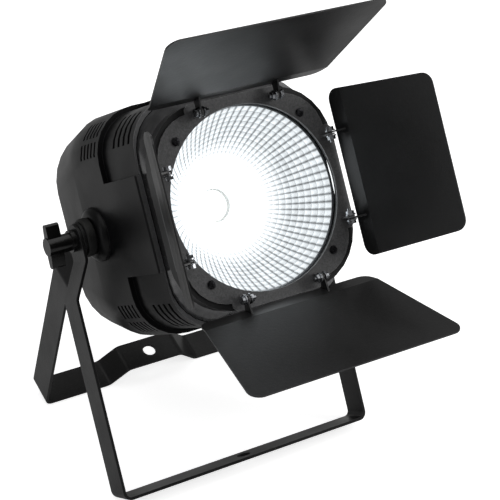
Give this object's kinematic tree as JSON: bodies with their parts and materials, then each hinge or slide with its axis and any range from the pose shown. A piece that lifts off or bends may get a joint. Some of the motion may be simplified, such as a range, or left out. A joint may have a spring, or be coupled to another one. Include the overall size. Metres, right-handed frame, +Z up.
{
  "type": "stage par can light",
  "caption": "Stage flood lamp with a faceted reflector and barn doors, tilting between the arms of a folding two-bar floor and hanging bracket.",
  "frame": {"origin": "centre of the lamp's box at floor level, in the pose it stands in", "axes": "+Z up, -Y the way the lamp shines, +X to the right of someone facing the lamp"},
  "size_m": [0.3038, 0.465, 0.4931],
  "materials": {
    "housing_black": "satin black, softly grained",
    "powder_black": "fine textured black powder coat",
    "plate_grey": "black powder coat, worn greyer",
    "satin_alloy": "satin, softly reflecting",
    "zinc": "bright zinc plate",
    "dark_screw": "black oxide",
    "reflector_silver": "faceted vacuum metallised",
    "clear_glass": "clear",
    "rubber": "matt",
    "knob_black": "glossy",
    "ceramic": "matt white",
    "phosphor": "lit, white",
    "raw_alloy": "extruded",
    "fan_black": "moulded",
    "board_green": "solder resist",
    "display_dark": "dark window",
    "socket_black": "moulded"
  },
  "bodies": {
    "front_stand": {"front_bracket": "powder_black"},
    "rear_stand": {"rear_bracket": "powder_black"},
    "head": {"housing_shell": "housing_black", "rear_cover": "housing_black", "display_window": "display_dark", "data_in_socket": "socket_black", "data_out_socket": "socket_black", "power_inlet": "socket_black", "fuse_holder": "socket_black", "safety_eye": "zinc", "tilt_bolt_left": "zinc", "tilt_bolt_right": "zinc", "hinge_bolt_right_1": "zinc", "hinge_bolt_right_2": "zinc", "hinge_bolt_top_1": "zinc", "hinge_bolt_top_2": "zinc", "hinge_bolt_left_1": "zinc", "hinge_bolt_left_2": "zinc", "hinge_bolt_bottom_1": "zinc", "hinge_bolt_bottom_2": "zinc", "hinge_nut_right_1": "zinc", "hinge_nut_right_2": "zinc", "hinge_nut_top_1": "zinc", "hinge_nut_top_2": "zinc", "hinge_nut_left_1": "zinc", "hinge_nut_left_2": "zinc", "hinge_nut_bottom_1": "zinc", "hinge_nut_bottom_2": "zinc", "bezel_ring": "satin_alloy", "holder_frame": "powder_black", "glass_gasket": "rubber", "friction_disc_left": "rubber", "friction_disc_right": "rubber", "cover_glass": "clear_glass", "reflector": "reflector_silver", "led_retainer": "ceramic", "led_board": "ceramic", "led_emitter": "phosphor", "heat_sink": "raw_alloy", "fan_frame": "fan_black", "power_board": "board_green", "control_board": "board_green", "plate_screw_1": "dark_screw", "plate_screw_2": "dark_screw", "plate_screw_3": "dark_screw", "plate_screw_4": "dark_screw", "door_plate": "plate_grey"},
    "knob_left": {"clamp_knob_left": "knob_black"},
    "knob_right": {"clamp_knob_right": "knob_black"},
    "fan": {"fan_rotor": "fan_black"},
    "right_door": {"door_right": "powder_black"},
    "top_door": {"door_top": "powder_black"},
    "left_door": {"door_left": "powder_black"},
    "bottom_door": {"door_bottom": "powder_black"},
    "button_1": {"menu_button_1": "socket_black"},
    "button_2": {"menu_button_2": "socket_black"},
    "button_3": {"menu_button_3": "socket_black"},
    "button_4": {"menu_button_4": "socket_black"}
  },
  "joints": [
    {"name": "rear_stand_fold", "type": "hinge", "parent": "front_stand", "child": "rear_stand", "pos_m": [0, 0.07688, 0.23186], "axis": [1, 0, 0], "range_deg": [-49, 60]},
    {"name": "head_tilt", "type": "hinge", "parent": "front_stand", "child": "head", "pos_m": [0, 0.07688, 0.23186], "axis": [1, 0, 0], "range_deg": [-60, 50]},
    {"name": "knob_left_turn", "type": "hinge", "parent": "head", "child": "knob_left", "pos_m": [-0.137, 0.07688, 0.23186], "axis": [-1, 0, 0], "range_deg": [0, 360]},
    {"name": "knob_right_turn", "type": "hinge", "parent": "head", "child": "knob_right", "pos_m": [0.137, 0.07688, 0.23186], "axis": [1, 0, 0], "range_deg": [0, 360]},
    {"name": "fan_spin", "type": "hinge", "parent": "head", "child": "fan", "pos_m": [0, 0.08615, 0.22651], "axis": [0, -0.866, 0.5], "continuous": true},
    {"name": "right_door_swing", "type": "hinge", "parent": "head", "child": "right_door", "pos_m": [0.0866, -0.06359, 0.31296], "axis": [0, -0.5, -0.866], "range_deg": [-21, 56]},
    {"name": "top_door_swing", "type": "hinge", "parent": "head", "child": "top_door", "pos_m": [0, -0.02029, 0.38796], "axis": [1, 0, 0], "range_deg": [-25, 32]},
    {"name": "left_door_swing", "type": "hinge", "parent": "head", "child": "left_door", "pos_m": [-0.0866, -0.06359, 0.31296], "axis": [0, 0.5, 0.866], "range_deg": [-23, 54]},
    {"name": "bottom_door_swing", "type": "hinge", "parent": "head", "child": "bottom_door", "pos_m": [0, -0.10688, 0.23797], "axis": [-1, 0, 0], "range_deg": [-17, 40]},
    {"name": "menu_button_1_press", "type": "slide", "parent": "head", "child": "button_1", "axis": [0, -0.866, 0.5], "range_m": [0, 0.0008], "stiffness_N_per_m": 300},
    {"name": "menu_button_2_press", "type": "slide", "parent": "head", "child": "button_2", "axis": [0, -0.866, 0.5], "range_m": [0, 0.0008], "stiffness_N_per_m": 300},
    {"name": "menu_button_3_press", "type": "slide", "parent": "head", "child": "button_3", "axis": [0, -0.866, 0.5], "range_m": [0, 0.0008], "stiffness_N_per_m": 300},
    {"name": "menu_button_4_press", "type": "slide", "parent": "head", "child": "button_4", "axis": [0, -0.866, 0.5], "range_m": [0, 0.0008], "stiffness_N_per_m": 300}
  ]
}
